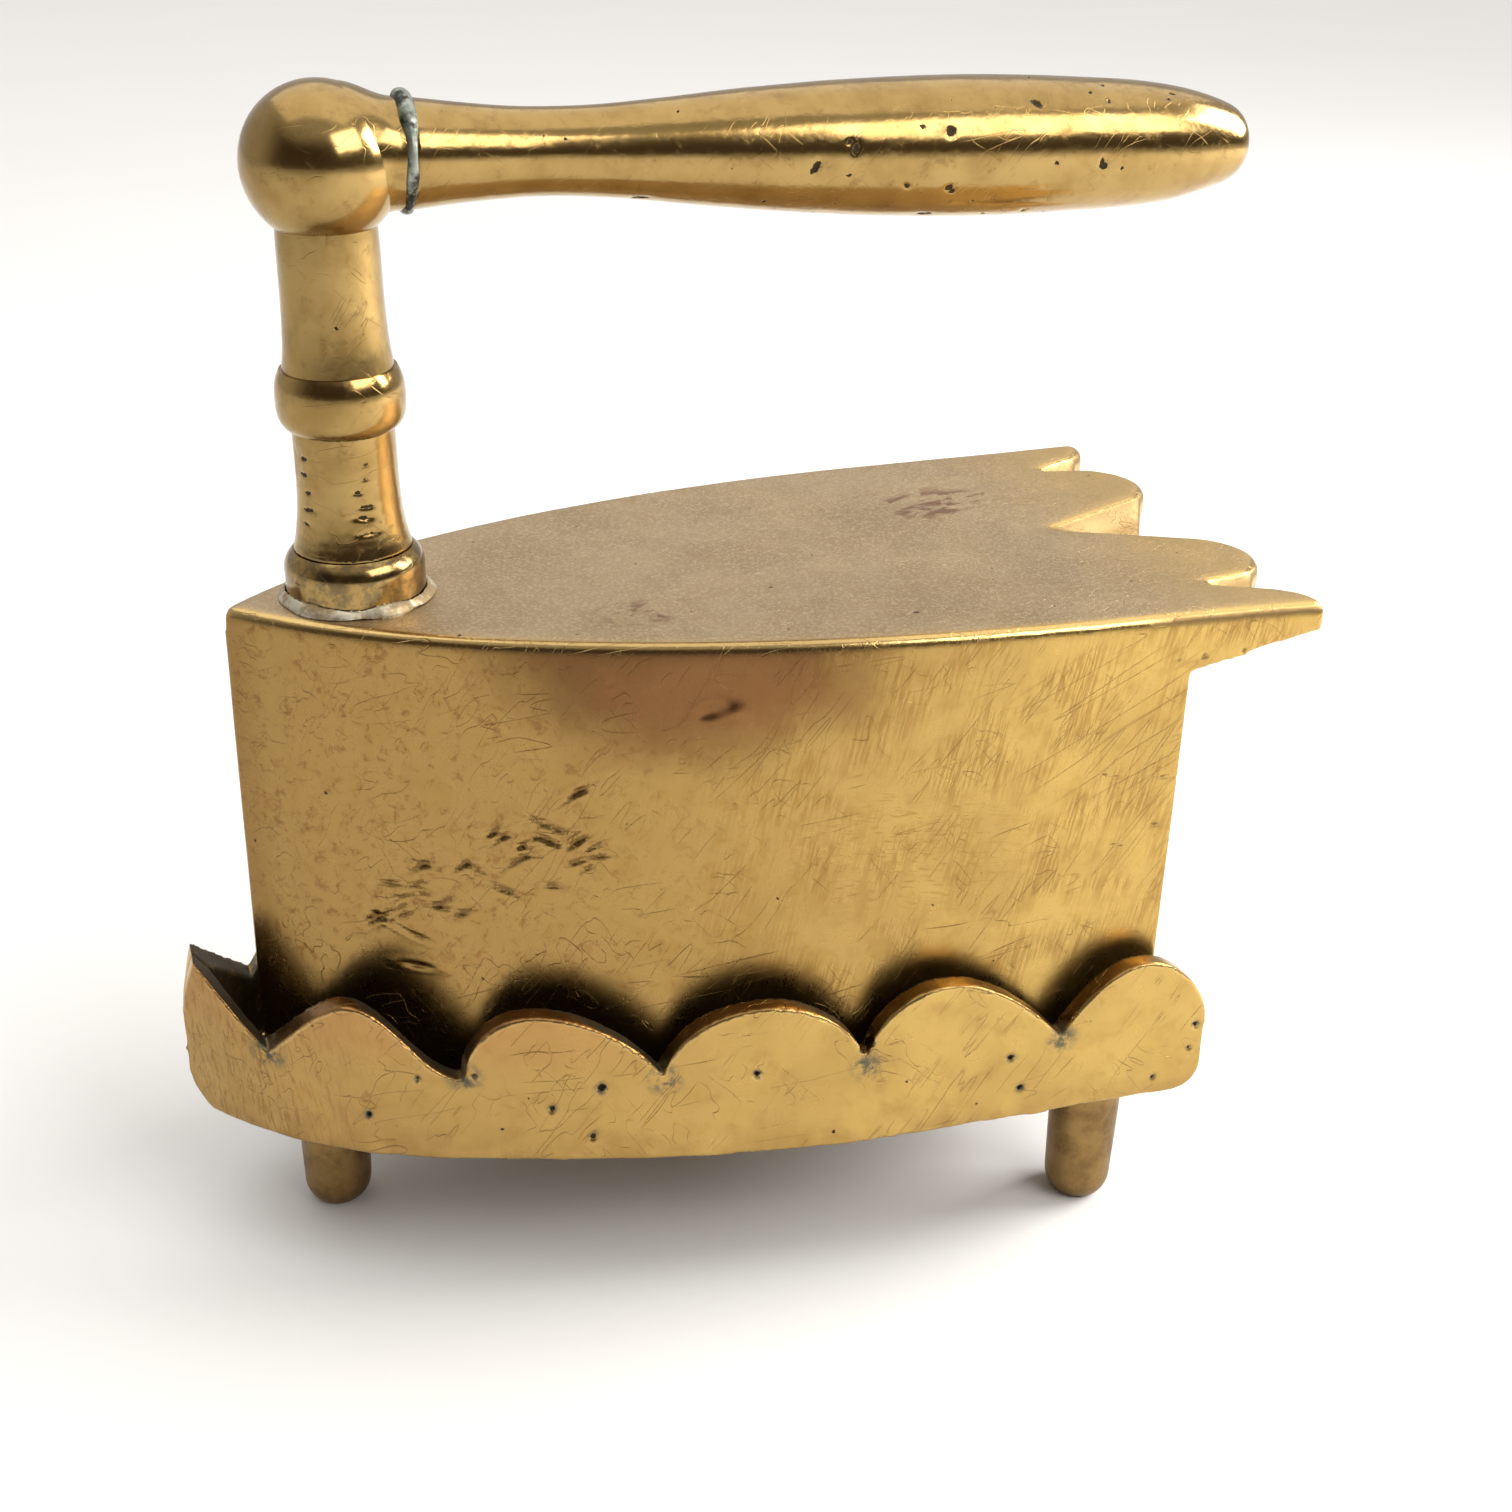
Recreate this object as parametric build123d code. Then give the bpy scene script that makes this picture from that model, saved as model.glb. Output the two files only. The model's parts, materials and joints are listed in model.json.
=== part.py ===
from build123d import *
import math
import os

# A miniature brass box iron standing in its own scalloped trivet.
# Millimetres. +Z is up, -X points to the toe, +X to the heel, Y = 0 is the middle plane.
# Z = 0 is the surface that the trivet's three feet stand on.

# Overall lengths and heights
TOE_X = -33.9            # front of the trivet's gallery
GRIP_END_X = 33.9        # rounded end of the handle
TRIVET_BOTTOM = 9.7      # lower edge of the gallery at the middle of its length
BOTTOM_SLOPE = 0.014     # the gallery's lower edge rises towards the heel
PLATE_THICKNESS = 1.3
SEAT_Z = 11.2            # top of the trivet plate, where the iron's sole stands
BODY_TOP = 42.25         # flat top of the iron's box

# Iron box
BODY_TOE_X = -29.2
REAR_X = 24.9            # outside of the box's rear wall
BODY_SIDE = [(-26.2, 2.85), (-21.6, 6.05), (-14.3, 9.65), (-5.0, 12.7), (6.0, 14.85), (17.0, 15.8),
             (25.0, 16.1), (33.35, 16.6)]
WALL = 1.7
CEILING = 1.8            # thickness of the box's top
SOLE_THICKNESS = 2.0
TOP_EDGE_RADIUS = 0.6
TOE_EDGE_RADIUS = 0.35

# Crown-cut heel that overhangs the rear wall
CROWN_ROOT = 3.8         # thickness where it leaves the rear wall
CROWN_TIP = 1.9          # thickness at the points
CROWN_TIP_X = 33.6

# Heel opening, door and hinge
OPENING_HALF_WIDTH = 11.9
OPENING_TOP = 34.4
DOOR_INNER_X = 25.2
DOOR_THICKNESS = 1.2
DOOR_LAP = 1.0           # how far the door covers the wall at the sides and below
DOOR_TOP_LAP = 0.55      # and above, where the hinge lugs are near
HINGE_X = 26.2
HINGE_Z = 36.3
HINGE_PIN_RADIUS = 0.55
HINGE_CLEARANCE = 0.05
KNUCKLE_RADIUS = 1.0
KNUCKLE_HALF_LENGTH = 9.0
LUG_INNER_Y = 9.3
LUG_OUTER_Y = 11.7
DOOR_KNOB_Z = 16.8

# Heater slug and the rails it lies on
RAIL_SIZE = 1.4
RAIL_Y = 4.2
SLUG_TOP = 28.8
SLUG_GAP = 1.3           # clearance between slug and box walls

# Handle post and ball, with heights measured up the post from the box's top
POST_X = -21.4
POST_LEAN = 1.1          # degrees that the post leans towards the toe
COLLAR_RADIUS = 4.0
COLLAR_TOP = 3.0
RING_BOTTOM = 10.1
RING_TOP = 13.4
RING_RADIUS = 3.6
COLUMN_TOP_RADIUS = 2.74
BALL_RADIUS = 4.28
BALL_HEIGHT = 24.35
STUD_RADIUS = 1.1
STUD_CLEARANCE = 0.05
WASHER_THICKNESS = 0.7

# Grip
GRIP_HEIGHT = 24.75
GRIP_TILT = 0.9          # degrees that the grip slopes down towards the heel
GRIP_JOINT = 4.6         # distance from the post's axis to the start of the grip
SOLDER_GAP = 0.45        # width of the solder ring between ball and grip
BOSS_RADIUS = 2.95
TENON_RADIUS = 1.4

# Trivet gallery
GALLERY_SIDE = [(-30.0, 4.6), (-25.3, 8.4), (-15.5, 12.6), (-4.8, 15.8), (10.7, 17.8), (27.9, 18.45)]
GALLERY_WALL = 1.35
GALLERY_HEEL_X = 27.85
PLATE_HEEL_X = 27.3

# Trivet feet
FOOT_TOP_RADIUS = 2.35
FOOT_TOE_X = -25.1
FOOT_HEEL_X = 22.3
FOOT_HEEL_Y = 13.9
FOOT_TENON_RADIUS = 1.2


def shifted(points, distance):
    """Points moved sideways by a distance, towards the middle plane when it is positive."""
    moved = []
    for index, (x, y) in enumerate(points):
        before = points[max(index - 1, 0)]
        after = points[min(index + 1, len(points) - 1)]
        run = after[0] - before[0]
        rise = after[1] - before[1]
        length = math.hypot(run, rise)
        moved.append((x + distance * rise / length, y - distance * run / length))
    return moved


def boat(nose_x, side_points, heel_x):
    """Pointed outline, mirrored about the middle plane and closed by a straight heel."""
    curve = Spline([(nose_x, 0)] + side_points)
    half = make_face([curve, Line(curve @ 1, (side_points[-1][0], 0)), Line((side_points[-1][0], 0), (nose_x, 0))])
    whole = half + mirror(half, about=Plane.XZ)
    trim = Pos((heel_x + nose_x) / 2 - 5, 0, 0) * Rectangle(heel_x - nose_x + 10, 80)
    return whole & trim


def prism(face, z_low, z_high):
    """Vertical prism of a plan outline between two heights."""
    return extrude(Pos(0, 0, z_low) * face, z_high - z_low)


def turned(profile_edges):
    """Solid of revolution about the Z axis from edges drawn in radius and height."""
    return revolve(Plane.XZ * make_face(profile_edges), Axis.Z)


def rod(z_low, z_high, radius):
    """Round rod or bore along the Z axis."""
    return Pos(0, 0, (z_low + z_high) / 2) * Cylinder(radius, z_high - z_low)


def on_post(shape):
    """Places a shape built about the Z axis on the leaning post, with height 0 on the box's top."""
    return Pos(POST_X, 0, BODY_TOP) * Rot(0, -POST_LEAN, 0) * shape


def cross_rod(x, z, y_low, y_high, radius):
    """Round rod along Y."""
    return Pos(x, (y_low + y_high) / 2, z) * Rot(90, 0, 0) * Cylinder(radius, y_high - y_low)


def flute(apex, mouth_centre_y, mouth_half_width, mouth_depth):
    """V groove that starts as a point on the top and widens and deepens towards the heel."""
    mouth_x = 35.0
    lift = 1.0
    slope_x = mouth_x - apex[0]
    back = lift * slope_x / mouth_depth
    grow = (mouth_depth + lift) / mouth_depth
    tip = (apex[0] - back, apex[1] - (mouth_centre_y - apex[1]) * lift / mouth_depth, BODY_TOP + lift)
    left = (mouth_x, mouth_centre_y - mouth_half_width * grow, BODY_TOP + lift)
    right = (mouth_x, mouth_centre_y + mouth_half_width * grow, BODY_TOP + lift)
    bottom = (mouth_x, mouth_centre_y, BODY_TOP - mouth_depth)
    faces = [make_face(Polyline(a, b, c, close=True))
             for a, b, c in ((tip, left, right), (tip, left, bottom), (tip, bottom, right), (left, right, bottom))]
    return Solid(Shell(faces))


def crown_plan():
    """Plan of the whole top: the boat outline with lobes along its heel edge."""
    side = Spline([(BODY_TOE_X, 0)] + BODY_SIDE)
    corner = side @ 1
    edges = [
        side,
        ThreePointArc(corner, (33.45, 15.5), (32.2, 13.6)),
        Line((32.2, 13.6), (31.4, 12.2)),
        Line((31.4, 12.2), (32.0, 10.5)),
        ThreePointArc((32.0, 10.5), (33.75, 7.3), (32.4, 4.4)),
        Line((32.4, 4.4), (30.2, 0)),
        Line((30.2, 0), (BODY_TOE_X, 0)),
    ]
    half = make_face(edges)
    return half + mirror(half, about=Plane.XZ)


def body_casting():
    """Box with its top, side walls, rear frame, hinge lugs and overhanging crown heel in one casting."""
    low = SEAT_Z + SOLE_THICKNESS
    block = prism(crown_plan(), low, BODY_TOP)
    toe_edge = block.edges().filter_by(Axis.Z).sort_by(Axis.X)[0]
    block = fillet(toe_edge, TOE_EDGE_RADIUS)
    rim = block.edges().group_by(Axis.Z)[-1]
    block = fillet(rim, TOP_EDGE_RADIUS)
    slope = (CROWN_ROOT - CROWN_TIP) / (CROWN_TIP_X - REAR_X)
    far_x = 40.0
    under = make_face(Polyline(
        (REAR_X, low - 1), (far_x, low - 1), (far_x, BODY_TOP - CROWN_ROOT + slope * (far_x - REAR_X)),
        (REAR_X, BODY_TOP - CROWN_ROOT), close=True))
    block -= extrude(Plane.XZ * under, 30, both=True)
    for centre, mouth_y, half_width, depth in (((22.3, 0), 0, 6.0, 4.2), ((27.2, 11.3), 12.5, 2.6, 4.4),
                                               ((27.2, -11.3), -12.5, 2.6, 4.4)):
        block -= flute(centre, mouth_y, half_width, depth)
    chamber_side = shifted(BODY_SIDE, WALL)[1:]
    chamber = boat(BODY_TOE_X + 3.6, chamber_side, REAR_X - WALL)
    block -= prism(chamber, low, BODY_TOP - CEILING)
    opening = Pos(REAR_X, 0, (low + OPENING_TOP) / 2) * Box(WALL * 3, 2 * OPENING_HALF_WIDTH, OPENING_TOP - low)
    block -= opening
    for side in (-1, 1):
        lug_y = side * (LUG_INNER_Y + LUG_OUTER_Y) / 2
        lug_width = LUG_OUTER_Y - LUG_INNER_Y
        web = Pos((REAR_X - 0.4 + HINGE_X) / 2, lug_y, HINGE_Z) * Box(HINGE_X - REAR_X + 0.4, lug_width, 2.0)
        eye = cross_rod(HINGE_X, HINGE_Z, lug_y - lug_width / 2, lug_y + lug_width / 2, KNUCKLE_RADIUS)
        block += web + eye
    block -= cross_rod(HINGE_X, HINGE_Z, -LUG_OUTER_Y - 1, LUG_OUTER_Y + 1, HINGE_PIN_RADIUS + 0.01)
    return block - on_post(rod(-5, 1, STUD_RADIUS + STUD_CLEARANCE))


def sole_plate():
    """Flat sole brazed under the box."""
    return prism(boat(BODY_TOE_X, BODY_SIDE, REAR_X), SEAT_Z, SEAT_Z + SOLE_THICKNESS)


def slug_rail(side):
    """One of the two bars on the sole that keep the hot slug off it."""
    rail_length = 32.0
    z = SEAT_Z + SOLE_THICKNESS + RAIL_SIZE / 2
    bar = Pos(3.0, side * RAIL_Y, z) * Box(rail_length, RAIL_SIZE, RAIL_SIZE)
    return chamfer(bar.edges().group_by(Axis.Z)[-1], 0.25)


def heater_slug():
    """Cast-iron wedge that is heated in the fire and slid in through the heel."""
    inset = WALL + SLUG_GAP
    plan = boat(BODY_TOE_X + 8.0, shifted(BODY_SIDE, inset)[2:], REAR_X - 3.4)
    # The slug must pass the heel opening, so its sides stop at the opening's width.
    gauge = Rectangle(80, 2 * (OPENING_HALF_WIDTH - 0.6))
    block = prism(plan & gauge, SEAT_Z + SOLE_THICKNESS + RAIL_SIZE, SLUG_TOP)
    block = chamfer(block.edges().group_by(Axis.Z)[-1], 0.7)
    hook_hole = Pos(REAR_X - 7.5, 0, 0) * rod(0, BODY_TOP, 1.8)
    return block - hook_hole


def heel_door():
    """Flap that hangs from the hinge pin and covers the heel opening."""
    top = OPENING_TOP + DOOR_TOP_LAP
    bottom = SEAT_Z + SOLE_THICKNESS - DOOR_LAP
    width = 2 * (OPENING_HALF_WIDTH + DOOR_LAP)
    plate = Pos(DOOR_INNER_X + DOOR_THICKNESS / 2, 0, (top + bottom) / 2) * Box(DOOR_THICKNESS, width, top - bottom)
    plate = fillet(plate.edges().filter_by(Axis.X), 1.2)
    plate = fillet(plate.faces().sort_by(Axis.X)[-1].edges(), 0.35)
    web = Pos(HINGE_X - 0.3, 0, (top - 1 + HINGE_Z) / 2) * Box(1.1, 2 * KNUCKLE_HALF_LENGTH, HINGE_Z - top + 1)
    knuckle = cross_rod(HINGE_X, HINGE_Z, -KNUCKLE_HALF_LENGTH, KNUCKLE_HALF_LENGTH, KNUCKLE_RADIUS)
    bore = cross_rod(HINGE_X, HINGE_Z, -15, 15, HINGE_PIN_RADIUS + HINGE_CLEARANCE)
    rivet_hole = Pos(DOOR_INNER_X, 0, DOOR_KNOB_Z) * Rot(0, 90, 0) * Cylinder(0.7, 6)
    return plate + web + knuckle - bore - rivet_hole


def hinge_pin():
    """Pin through both lugs and the door's knuckle, riveted over at its ends."""
    pin = cross_rod(HINGE_X, HINGE_Z, -LUG_OUTER_Y, LUG_OUTER_Y, HINGE_PIN_RADIUS)
    for side in (-1, 1):
        low = min(side * LUG_OUTER_Y, side * (LUG_OUTER_Y + 0.35))
        pin += cross_rod(HINGE_X, HINGE_Z, low, low + 0.35, 0.85)
    return pin


def door_knob():
    """Small turned knob riveted through the door."""
    face_x = DOOR_INNER_X + DOOR_THICKNESS
    shank = Pos(0, 0, DOOR_INNER_X + 1.2) * Cylinder(0.69, 2.4)
    base = Pos(0, 0, face_x + 0.2) * Cylinder(1.3, 0.4)
    neck = Pos(0, 0, face_x + 0.8) * Cylinder(0.8, 1.2)
    button = Pos(0, 0, face_x + 2.2) * Sphere(1.6)
    knob = shank + base + neck + button
    return Pos(0, 0, DOOR_KNOB_Z) * Rot(0, 90, 0) * knob


def bored(piece, z_low, z_high):
    """Piece of the post with the stud's bore through it."""
    return piece - rod(z_low, z_high, STUD_RADIUS + STUD_CLEARANCE)


def post_foot_collar():
    """Heavy collar that stands on the box's top."""
    shoulder = COLLAR_TOP - 1.4
    sunk = -0.5
    edges = [
        Line((0, sunk), (COLLAR_RADIUS, sunk)),
        Line((COLLAR_RADIUS, sunk), (COLLAR_RADIUS, shoulder)),
        ThreePointArc((COLLAR_RADIUS, shoulder), (3.85, COLLAR_TOP - 0.5), (3.45, COLLAR_TOP)),
        Line((3.45, COLLAR_TOP), (0, COLLAR_TOP)),
        Line((0, COLLAR_TOP), (0, sunk)),
    ]
    collar = on_post(bored(turned(edges), sunk - 1, COLLAR_TOP + 1))
    below_top = Pos(POST_X, 0, BODY_TOP - 5) * Box(20, 20, 10)
    return collar - below_top


def post_lower_column():
    """Lower half of the post, which flares where it meets the collar."""
    foot = (3.4, COLLAR_TOP)
    edges = [
        Line((0, COLLAR_TOP), foot),
        Spline([foot, (3.05, 4.6), (2.88, 7.0), (2.86, RING_BOTTOM)]),
        Line((2.86, RING_BOTTOM), (0, RING_BOTTOM)),
        Line((0, RING_BOTTOM), (0, COLLAR_TOP)),
    ]
    return on_post(bored(turned(edges), COLLAR_TOP - 1, RING_BOTTOM + 1))


def post_ring():
    """Raised band halfway up the post."""
    edges = [
        Line((0, RING_BOTTOM), (3.1, RING_BOTTOM)),
        Spline([(3.1, RING_BOTTOM), (3.5, 10.7), (RING_RADIUS, 11.5), (3.56, 12.5), (3.25, RING_TOP)]),
        Line((3.25, RING_TOP), (0, RING_TOP)),
        Line((0, RING_TOP), (0, RING_BOTTOM)),
    ]
    return on_post(bored(turned(edges), RING_BOTTOM - 1, RING_TOP + 1))


def column_top():
    """Height at which the upper column meets the ball's surface."""
    return BALL_HEIGHT - math.sqrt(BALL_RADIUS ** 2 - COLUMN_TOP_RADIUS ** 2)


def post_upper_column():
    """Upper half of the post, from the ring to the ball."""
    top = column_top()
    edges = [
        Line((0, RING_TOP), (3.08, RING_TOP)),
        Spline([(3.08, RING_TOP), (2.88, 15.2), (2.79, 18.0), (COLUMN_TOP_RADIUS, top)]),
        Line((COLUMN_TOP_RADIUS, top), (0, top)),
        Line((0, top), (0, RING_TOP)),
    ]
    return on_post(bored(turned(edges), RING_TOP - 1, top + 1))


def along_grip(shape):
    """Places a shape built about the Z axis on the grip's axis, which starts at the post's axis."""
    return Pos(0, 0, GRIP_HEIGHT) * Rot(0, 90 + GRIP_TILT + POST_LEAN, 0) * shape


def elbow_ball():
    """Ball that turns the corner, with a short boss for the grip."""
    # The sphere is turned so that its seam lies clear of the boss and the bores.
    ball = Pos(0, 0, BALL_HEIGHT) * Rot(0, 0, 37) * Sphere(BALL_RADIUS)
    boss_end = GRIP_JOINT - SOLDER_GAP
    edges = [
        Line((0, 1.0), (3.75, 1.0)),
        Spline([(3.75, 1.0), (3.42, 2.3), (3.05, 3.3), (BOSS_RADIUS, boss_end)]),
        Line((BOSS_RADIUS, boss_end), (0, boss_end)),
        Line((0, boss_end), (0, 1.0)),
    ]
    ball += along_grip(turned(edges))
    top = column_top()
    ball -= Pos(0, 0, top - 3) * Box(12, 12, 6)
    ball = bored(ball, top - 1, BALL_HEIGHT - 0.9)
    return on_post(ball - along_grip(rod(1.9, 12, TENON_RADIUS + STUD_CLEARANCE)))


def handle_grip():
    """Turned grip, thin near the ball and full near its rounded end, with a tenon into the ball."""
    end = GRIP_END_X - POST_X + GRIP_HEIGHT * math.sin(math.radians(POST_LEAN))
    swell = Spline([(2.93, GRIP_JOINT), (2.36, 12.2), (3.07, 21.5), (3.82, 31.5), (3.97, 38.5), (3.76, 46.0),
                    (3.33, 50.7), (2.5, 54.0), (0, end)], tangents=[(-0.12, 1), (-1, 0)])
    edges = [
        Line((0, 2.0), (TENON_RADIUS, 2.0)),
        Line((TENON_RADIUS, 2.0), (TENON_RADIUS, GRIP_JOINT)),
        Line((TENON_RADIUS, GRIP_JOINT), (2.93, GRIP_JOINT)),
        swell,
        Line((0, end), (0, 2.0)),
    ]
    return on_post(along_grip(turned(edges)))


def grip_solder_ring():
    """Ring of hard solder that fills the joint between the ball's boss and the grip."""
    low = GRIP_JOINT - SOLDER_GAP
    edges = [
        Line((TENON_RADIUS, low), (2.95, low)),
        ThreePointArc((2.95, low), (3.08, (low + GRIP_JOINT) / 2), (2.93, GRIP_JOINT)),
        Line((2.93, GRIP_JOINT), (TENON_RADIUS, GRIP_JOINT)),
        Line((TENON_RADIUS, GRIP_JOINT), (TENON_RADIUS, low)),
    ]
    return on_post(along_grip(turned(edges)))


def foot_solder_bead():
    """Bead of solder run around the collar's foot."""
    inner = COLLAR_RADIUS + 0.02
    outer = COLLAR_RADIUS + 0.5
    edges = [
        Line((inner, 0), (outer, 0)),
        ThreePointArc((outer, 0), (COLLAR_RADIUS + 0.3, 0.36), (inner, 0.6)),
        Line((inner, 0.6), (inner, 0)),
    ]
    return Pos(POST_X, 0, BODY_TOP) * turned(edges)


def post_stud():
    """Rod that ties the post's pieces to the box: into the ball above, riveted over below."""
    # The rod leans and the washer lies level, so the head sits a little lower and touches at one side.
    head_top = -CEILING - WASHER_THICKNESS - 0.05
    stud = rod(head_top, BALL_HEIGHT - 1.0, STUD_RADIUS)
    head = Pos(0, 0, head_top) * (Sphere(1.7) & Pos(0, 0, -0.45) * Box(4, 4, 0.9))
    return on_post(stud + head)


def stud_washer():
    """Washer between the stud's riveted head and the box's ceiling."""
    ring = rod(-CEILING - WASHER_THICKNESS, -CEILING, 2.6) - rod(-5, 0, STUD_RADIUS + 0.15)
    return Pos(POST_X, 0, BODY_TOP) * ring


def bottom_edge(x):
    """Height of the gallery's lower edge at a place along its length."""
    return TRIVET_BOTTOM + BOTTOM_SLOPE * x


def gallery_profile():
    """Side view of a gallery wall: toe line, scalloped upper edge, rounded heel end and straight foot."""
    toe_peak = (-32.9, 20.0)
    notches = [(-29.2, 15.25), (-18.5, 15.15), (-7.2, 15.65), (5.0, 15.75), (17.7, 15.45)]
    scallops = [
        [(-27.4, 17.6), (-24.5, 19.7), (-22.0, 17.95), (-20.3, 16.0)],
        [(-17.6, 17.85), (-15.9, 19.35), (-12.6, 19.45), (-9.3, 17.85)],
        [(-5.4, 18.55), (-1.6, 20.05), (2.3, 19.05)],
        [(6.5, 18.85), (9.8, 20.35), (13.4, 19.25)],
    ]
    toe_foot_x = -32.7
    toe_corner = (toe_foot_x, bottom_edge(toe_foot_x))
    edges = [
        Spline([toe_corner, (-33.65, 10.9), (TOE_X + 0.02, 13.4), (-33.55, 17.4), toe_peak]),
        Spline([toe_peak, (-31.5, 18.1), notches[0]]),
    ]
    for index, middle in enumerate(scallops):
        edges.append(Spline([notches[index]] + middle + [notches[index + 1]]))
    heel_corner = (GALLERY_HEEL_X, 14.4)
    edges.append(Spline([notches[-1], (20.2, 18.7), (22.9, 19.95), (26.3, 18.3), heel_corner]))
    corner_radius = 1.8
    foot_corner = (GALLERY_HEEL_X - corner_radius, bottom_edge(GALLERY_HEEL_X - corner_radius))
    low_corner = (GALLERY_HEEL_X, foot_corner[1] + corner_radius)
    edges.append(Line(heel_corner, low_corner))
    edges.append(RadiusArc(low_corner, foot_corner, corner_radius))
    edges.append(Line(foot_corner, toe_corner))
    return make_face(edges)


def gallery_inner_side():
    """Plan points of a gallery wall's inner face."""
    return shifted([(TOE_X, 0)] + GALLERY_SIDE, GALLERY_WALL)[1:]


def gallery_wall(side):
    """Scalloped upright wall from the toe to the heel on one side."""
    outer = prism(boat(TOE_X, GALLERY_SIDE, GALLERY_HEEL_X + 0.05), TRIVET_BOTTOM - 1, 25)
    inner = prism(boat(TOE_X + 1.9, gallery_inner_side(), GALLERY_HEEL_X + 5), TRIVET_BOTTOM - 2, 26)
    half = Pos(0, side * 20, 15) * Box(100, 40, 40)
    wall = (outer - inner) & half
    return wall & extrude(Plane.XZ * gallery_profile(), 30, both=True)


def trivet_plate():
    """Flat plate inside the gallery, with holes for the feet's tenons."""
    plan = boat(TOE_X + 1.9, gallery_inner_side(), PLATE_HEEL_X)
    plate = prism(plan, SEAT_Z - PLATE_THICKNESS, SEAT_Z)
    for x, y in foot_places().values():
        plate -= Pos(x, y, 0) * rod(0, SEAT_Z + 1, FOOT_TENON_RADIUS + 0.02)
    return plate


def foot_places():
    """Where the three feet stand."""
    return {"toe_foot": (FOOT_TOE_X, 0), "heel_foot_left": (FOOT_HEEL_X, -FOOT_HEEL_Y),
            "heel_foot_right": (FOOT_HEEL_X, FOOT_HEEL_Y)}


def foot(x, y):
    """Slightly tapered peg with a rounded end, riveted through the plate by its tenon."""
    shoulder = SEAT_Z - PLATE_THICKNESS
    edges = [
        Line((0, 0), (1.0, 0)),
        Spline([(1.0, 0), (1.85, 0.55), (2.15, 1.6)], tangents=[(1, 0.1), (0.03, 1)]),
        Line((2.15, 1.6), (FOOT_TOP_RADIUS, shoulder)),
        Line((FOOT_TOP_RADIUS, shoulder), (FOOT_TENON_RADIUS, shoulder)),
        Line((FOOT_TENON_RADIUS, shoulder), (FOOT_TENON_RADIUS, SEAT_Z)),
        Line((FOOT_TENON_RADIUS, SEAT_Z), (0, SEAT_Z)),
        Line((0, SEAT_Z), (0, 0)),
    ]
    return Pos(x, y, 0) * turned(edges)


def all_parts():
    """Every node's name and shape."""
    parts = {
        "trivet_plate": trivet_plate(),
        "gallery_left": gallery_wall(-1),
        "gallery_right": gallery_wall(1),
        "body_casting": body_casting(),
        "sole_plate": sole_plate(),
        "slug_rail_left": slug_rail(-1),
        "slug_rail_right": slug_rail(1),
        "heater_slug": heater_slug(),
        "heel_door": heel_door(),
        "hinge_pin": hinge_pin(),
        "door_knob": door_knob(),
        "post_foot_collar": post_foot_collar(),
        "post_lower_column": post_lower_column(),
        "post_ring": post_ring(),
        "post_upper_column": post_upper_column(),
        "elbow_ball": elbow_ball(),
        "handle_grip": handle_grip(),
        "grip_solder_ring": grip_solder_ring(),
        "foot_solder_bead": foot_solder_bead(),
        "post_stud": post_stud(),
        "stud_washer": stud_washer(),
    }
    for name, (x, y) in foot_places().items():
        parts[name] = foot(x, y)
    return parts


os.makedirs("parts", exist_ok=True)
for node, shape in all_parts().items():
    export_step(shape, f"parts/{node}.step")
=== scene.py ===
import json
import math
import random

import bpy
import numpy as np
from mathutils import Matrix, Vector


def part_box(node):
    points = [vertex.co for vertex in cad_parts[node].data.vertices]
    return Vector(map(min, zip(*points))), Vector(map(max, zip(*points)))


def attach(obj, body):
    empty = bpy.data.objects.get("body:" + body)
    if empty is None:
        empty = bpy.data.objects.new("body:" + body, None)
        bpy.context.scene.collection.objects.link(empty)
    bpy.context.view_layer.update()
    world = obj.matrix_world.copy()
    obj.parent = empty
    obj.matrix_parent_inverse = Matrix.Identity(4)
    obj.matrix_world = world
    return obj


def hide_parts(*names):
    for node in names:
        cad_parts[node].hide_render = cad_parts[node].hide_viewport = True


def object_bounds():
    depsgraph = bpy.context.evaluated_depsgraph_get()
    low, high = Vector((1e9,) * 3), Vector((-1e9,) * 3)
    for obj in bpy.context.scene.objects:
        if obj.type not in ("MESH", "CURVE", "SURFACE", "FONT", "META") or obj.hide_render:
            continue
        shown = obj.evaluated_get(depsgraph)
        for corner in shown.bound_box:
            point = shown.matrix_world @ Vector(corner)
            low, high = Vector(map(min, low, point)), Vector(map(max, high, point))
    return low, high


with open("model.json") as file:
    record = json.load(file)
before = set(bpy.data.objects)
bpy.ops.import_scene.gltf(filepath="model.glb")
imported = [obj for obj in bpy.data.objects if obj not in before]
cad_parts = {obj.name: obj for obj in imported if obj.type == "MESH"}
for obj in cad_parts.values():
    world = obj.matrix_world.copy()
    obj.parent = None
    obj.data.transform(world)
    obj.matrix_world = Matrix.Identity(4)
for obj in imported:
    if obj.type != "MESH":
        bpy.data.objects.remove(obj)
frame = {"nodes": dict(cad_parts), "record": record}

CAD_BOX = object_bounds()
MM = 0.001
SEED = 41
WAVE_COUNT = 7
BODY_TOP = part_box("body_casting")[1][2] / MM


def spot(x_share, y_share, z_share):
    """A place in millimetres, given as shares of the whole object's box from its low corner."""
    shares = zip((x_share, y_share, z_share), *CAD_BOX)
    return [(low + share * (high - low)) / MM for share, low, high in shares]


# ---------------------------------------------------------------- node materials

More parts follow.
